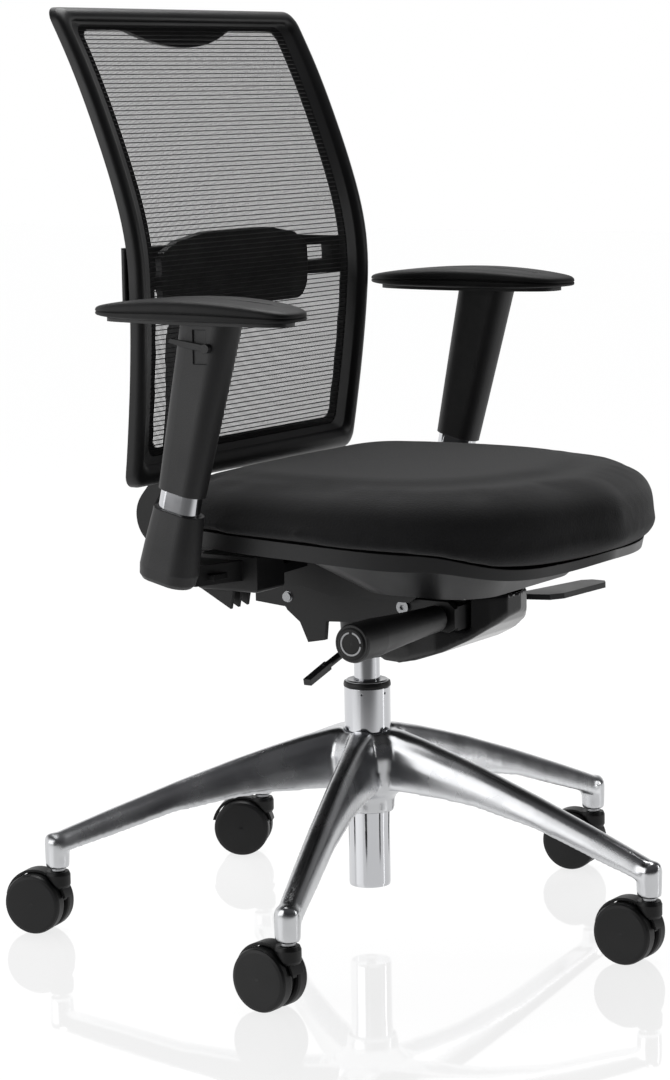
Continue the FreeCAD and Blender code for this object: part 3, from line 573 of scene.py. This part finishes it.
# %% Thread trees
def thread_tree(name, across):
    """Repeat one thread: along the side curve for the cross yarns, across the width for the uprights."""
    tree = bpy.data.node_groups.new(name, "GeometryNodeTree")
    face = tree.interface
    face.new_socket("Geometry", in_out="INPUT", socket_type="NodeSocketGeometry")
    for label, kind in (("Count", "NodeSocketInt"), ("Half width", "NodeSocketFloat"),
                        ("Thickness", "NodeSocketFloat"), ("Height", "NodeSocketFloat"),
                        ("Yarn", "NodeSocketMaterial")):
        face.new_socket(label, in_out="INPUT", socket_type=kind)
    face.new_socket("Geometry", in_out="OUTPUT", socket_type="NodeSocketGeometry")
    given = add(tree, "NodeGroupInput").outputs
    curve = add(tree, "GeometryNodeMeshToCurve", Mesh=given["Geometry"])
    section = add(tree, "GeometryNodeCurvePrimitiveCircle", {"Resolution": 5, "Radius": 0.5})
    size = add(tree, "ShaderNodeCombineXYZ", X=given["Height"], Y=given["Thickness"])
    flat = add(tree, "GeometryNodeTransform", Geometry=section.outputs["Curve"], Scale=size.outputs[0])
    minus = add(tree, "ShaderNodeMath", {"operation": "MULTIPLY", 1: -1.0}, _0=given["Half width"])
    start = add(tree, "ShaderNodeCombineXYZ", X=minus.outputs[0])
    end = add(tree, "ShaderNodeCombineXYZ", X=given["Half width"])
    if across:
        rail = add(tree, "GeometryNodeCurvePrimitiveLine", Start=start.outputs[0], End=end.outputs[0])
        thread = add(tree, "GeometryNodeCurveToMesh", {"Fill Caps": True}, Curve=rail.outputs[0],
                     Profile_Curve=flat.outputs[0])
        spread = add(tree, "GeometryNodeResampleCurve", Curve=curve.outputs[0], Count=given["Count"])
        spots = add(tree, "GeometryNodeCurveToPoints", {"mode": "EVALUATED"}, Curve=spread.outputs[0])
        dots = spots.outputs["Points"]
    else:
        thread = add(tree, "GeometryNodeCurveToMesh", {"Fill Caps": True}, Curve=curve.outputs[0],
                     Profile_Curve=flat.outputs[0])
        line = add(tree, "GeometryNodeMeshLine", {"mode": "END_POINTS"}, Count=given["Count"],
                   Start_Location=start.outputs[0], Offset=end.outputs[0])
        dots = line.outputs[0]
    copies = add(tree, "GeometryNodeInstanceOnPoints", Points=dots, Instance=thread.outputs[0])
    real = add(tree, "GeometryNodeRealizeInstances", Geometry=copies.outputs[0])
    painted = add(tree, "GeometryNodeSetMaterial", Geometry=real.outputs[0], Material=given["Yarn"])
    add(tree, "NodeGroupOutput", Geometry=painted.outputs[0])
    return tree


def threads(name, across, values, z0=523.0, z1=966.5, depth=11.9, steps=60):
    """Run one thread tree over the back's side curve and return plain points and faces."""
    line = [(0, (back_y(z) + depth) / 1000, z / 1000) for z in np.linspace(z0, z1, steps)]
    mesh = bpy.data.meshes.new(name)
    mesh.from_pydata(line, [(i, i + 1) for i in range(steps - 1)], [])
    holder = bpy.data.objects.new(name, mesh)
    scene.collection.objects.link(holder)
    tree = thread_tree(name + "_tree", across)
    run = holder.modifiers.new("threads", "NODES")
    run.node_group = tree
    for item in tree.interface.items_tree:
        if item.in_out == "INPUT" and item.name in values:
            run[item.identifier] = values[item.name]
    made = bpy.data.meshes.new_from_object(holder.evaluated_get(bpy.context.evaluated_depsgraph_get()))
    points = [v.co.copy() for v in made.vertices]
    faces = [tuple(p.vertices) for p in made.polygons]
    bpy.data.objects.remove(holder)
    print(name, "points", len(points))
    return points, faces


# %% Weave the cloth
CROSS_YARNS, UPRIGHT_YARNS = 92, 182
cross = threads("cross_yarns", True, {"Count": CROSS_YARNS, "Half width": 0.1895, "Thickness": 0.0011,
                                      "Height": 0.0031, "Yarn": FINISH["yarn"]})
upright = threads("upright_yarns", False, {"Count": UPRIGHT_YARNS, "Half width": 0.1885, "Thickness": 0.0005,
                                           "Height": 0.0012, "Yarn": FINISH["yarn"]})
shift = len(cross[0])
cloth = make_piece("back_cloth", cross[0] + upright[0],
                   cross[1] + [tuple(i + shift for i in f) for f in upright[1]], "yarn", 80)
settle(cloth, "back", "mesh_fabric", "back_mesh")


# %% [markdown]
# ## The seat cushion
# A moulded foam block under a fitted woven cover. A copy of its soft solid is wrapped in an even mesh
# and relaxed so the crown rolls into the sides. Then it is drawn in by three millimetres and blown up
# as cloth, with its underside held where it is stapled to the shell. Pressure alone would balloon it
# by about four centimetres, because the simulation knows nothing of the foam, so the cap sets how full
# it ends and the simulation mostly sets the direction. A last smoothing takes out its puckers.

# %% Cushion
CUSHION_CAP = 0.0045


def swell(piece, held, cap, frames=20):
    """Blow a closed cover up as cloth with its rim held, and cap how far each point moves."""
    mesh = piece.data
    start = np.array([v.co for v in mesh.vertices])
    group = piece.vertex_groups.new(name="held")
    for i, v in enumerate(mesh.vertices):
        group.add([i], held(v), "REPLACE")
    cover = piece.modifiers.new("cover", "CLOTH")
    cover.settings.vertex_group_mass = "held"
    cover.settings.use_pressure = True
    cover.settings.uniform_pressure_force = 4.0
    cover.settings.effector_weights.gravity = 0.0
    cover.point_cache.frame_start, cover.point_cache.frame_end = 1, frames
    for frame_number in range(1, frames + 1):
        scene.frame_set(frame_number)
    blown = bpy.data.meshes.new_from_object(piece.evaluated_get(bpy.context.evaluated_depsgraph_get()))
    end = np.array([v.co for v in blown.vertices])
    piece.modifiers.clear()
    piece.vertex_groups.clear()
    bpy.data.meshes.remove(blown)
    scene.frame_set(1)
    move = end - start
    far = np.linalg.norm(move, axis=1, keepdims=True)
    move *= np.minimum(1.0, cap / np.maximum(far, 1e-9))
    mesh.vertices.foreach_set("co", (start + move).ravel())
    mesh.update()
    print("cover swelled by up to mm", round(float(far.max()) * 1000, 1), "kept within", cap * 1000)


def build_cushion():
    piece = make_piece("seat_cushion_cover", *shell_of("seat_cushion"), "seat_cloth", 180)
    wrap = piece.modifiers.new("wrap", "REMESH")
    wrap.mode, wrap.voxel_size, wrap.use_smooth_shade = "VOXEL", 0.005, True
    relax = piece.modifiers.new("relax", "SMOOTH")
    relax.factor, relax.iterations = 0.5, 24
    piece.data = bpy.data.meshes.new_from_object(piece.evaluated_get(bpy.context.evaluated_depsgraph_get()))
    piece.modifiers.clear()
    for v in piece.data.vertices:
        if v.normal.z > -0.3:
            v.co -= v.normal * 0.003 * min(1.0, (v.normal.z + 0.3) / 0.3)
    swell(piece, lambda v: 1.0 if v.normal.z < -0.3 else 0.0, CUSHION_CAP)
    soft = piece.modifiers.new("soft", "SMOOTH")
    soft.factor, soft.iterations = 0.5, 10
    finer = piece.modifiers.new("finer", "SUBSURF")
    finer.levels = finer.render_levels = 1
    settle(piece, "seat", "seat_fabric", "seat_cushion")
    return piece


build_cushion()


# %% [markdown]
# ## The arm pads
# Each pad is two layers: a firm carrier below and a soft moulded top, with a fine groove where they
# meet. Rings of the outline are drawn in and lifted from the underside to the crown.

# %% Arm pads
PAD_OUTLINE = ((38, 66), (43, 15), (43, -43), (38, -86), (27, -100), (6, -102), (-12, -96), (-27, -75),
               (-37, -40), (-43, 20), (-39, 80), (-27, 125), (-8, 147), (8, 147), (26, 122))
PAD_ROWS = ((16, 0.0), (4, 0.0), (1.0, 0.05), (0, 0.16), (0, 0.33), (0.5, 0.36), (1.5, 0.385), (1.5, 0.41),
            (0.5, 0.435), (0, 0.47), (0, 0.64), (0.9, 0.78), (2.6, 0.88), (5.5, 0.94), (9, 0.965), (12, 0.98),
            (18, 0.99), (25, 0.997), (32, 1.0), (37.5, 1.0))
PAD_X = 265.0


def smooth_loop(points, count):
    """Evenly spaced points on a closed smooth curve through the given ones."""
    pts = np.array(points, float)
    n = len(pts)
    out = []
    for i in range(n):
        p0, p1, p2, p3 = pts[i - 1], pts[i], pts[(i + 1) % n], pts[(i + 2) % n]
        for t in np.linspace(0, 1, 12, endpoint=False):
            out.append(0.5 * (2 * p1 + (p2 - p0) * t + (2 * p0 - 5 * p1 + 4 * p2 - p3) * t ** 2
                              + (3 * p1 - p0 - 3 * p2 + p3) * t ** 3))
    out = np.array(out)
    steps = np.linalg.norm(np.roll(out, -1, 0) - out, axis=1)
    far = np.concatenate([[0], np.cumsum(steps)])
    closed = np.vstack([out, out[:1]])
    at = np.linspace(0, far[-1], count, endpoint=False)
    return np.stack([np.interp(at, far, closed[:, 0]), np.interp(at, far, closed[:, 1])], 1)


def pad_ring(loop, inset, lift, side):
    """One ring of the pad, drawn in along its own normals and lifted between underside and crown."""
    ahead, behind = np.roll(loop, -1, 0), np.roll(loop, 1, 0)
    along = ahead - behind
    normal = np.stack([along[:, 1], -along[:, 0]], 1)
    normal /= np.linalg.norm(normal, axis=1)[:, None]
    centre = np.array([0.0, 18.0])
    outward = np.sign((normal * (loop - centre)).sum(1)).mean()
    near = loop - normal * np.sign(outward) * min(inset, 12)
    if inset > 12:
        spine = np.stack([near[:, 0] * 0, np.clip(near[:, 1], -70, 110)], 1)
        near = near + (spine - near) * (inset - 12) / 26.0
    y = near[:, 1]
    top = 696.5 - np.where(y < 20, 12.5 * ((y - 20) / 132) ** 2, 10.5 * ((y - 20) / 129) ** 2)
    low = np.interp(y, (-112, -60, 20, 100, 149), (676, 675, 675, 675, 677))
    z = low + (top - low) * lift
    return [((PAD_X + x) * side / 1000, v / 1000, h / 1000) for (x, v), h in zip(near, z)]


def build_pad(side, tag):
    loop = smooth_loop(PAD_OUTLINE, 72)
    rings = [pad_ring(loop, inset, lift, side) for inset, lift in PAD_ROWS]
    points, faces = skin(rings)
    piece = make_piece("arm_pad_moulding_" + tag, points, faces, "pad", 60)
    finer = piece.modifiers.new("finer", "SUBSURF")
    finer.levels = finer.render_levels = 1
    return settle(piece, "armrest_" + tag, "pad_black", "arm_pad_" + tag)


for side, tag in ((1, "left"), (-1, "right")):
    build_pad(side, tag)


# %% [markdown]
# ## The mark on the tension knob
# A light grey ring lies in the groove of the knob's end cap, open at the top and at the front. The ring is
# real chrome; its light grey, broken at the top and the front, is painted reflection.

# %% Knob mark
KNOB_FACE_X, KNOB_Y, KNOB_Z = -245.2, -135.0, 358.0


def arc_solid(first, last, near, far, back, front, count=40):
    """A flat bar bent round the knob's axis, between two angles in degrees."""
    rings = []
    for a in np.radians(np.linspace(first, last, count)):
        rings.append([(x / 1000, (KNOB_Y + r * math.cos(a)) / 1000, (KNOB_Z + r * math.sin(a)) / 1000)
                      for r, x in ((near, back), (far, back), (far, front), (near, front))])
    return skin(rings)


# The ring is real; its light grey, broken at the top and the front, is painted reflection of its chrome.
points, faces = merged([arc_solid(first, last, 10.3, 12.0, KNOB_FACE_X, KNOB_FACE_X - 0.45)
                        for first, last in ((99, 171), (189, 441))])
mark = make_piece("knob_mark", points, faces, "print", 40)
settle(mark, "tension", "black_plastic")
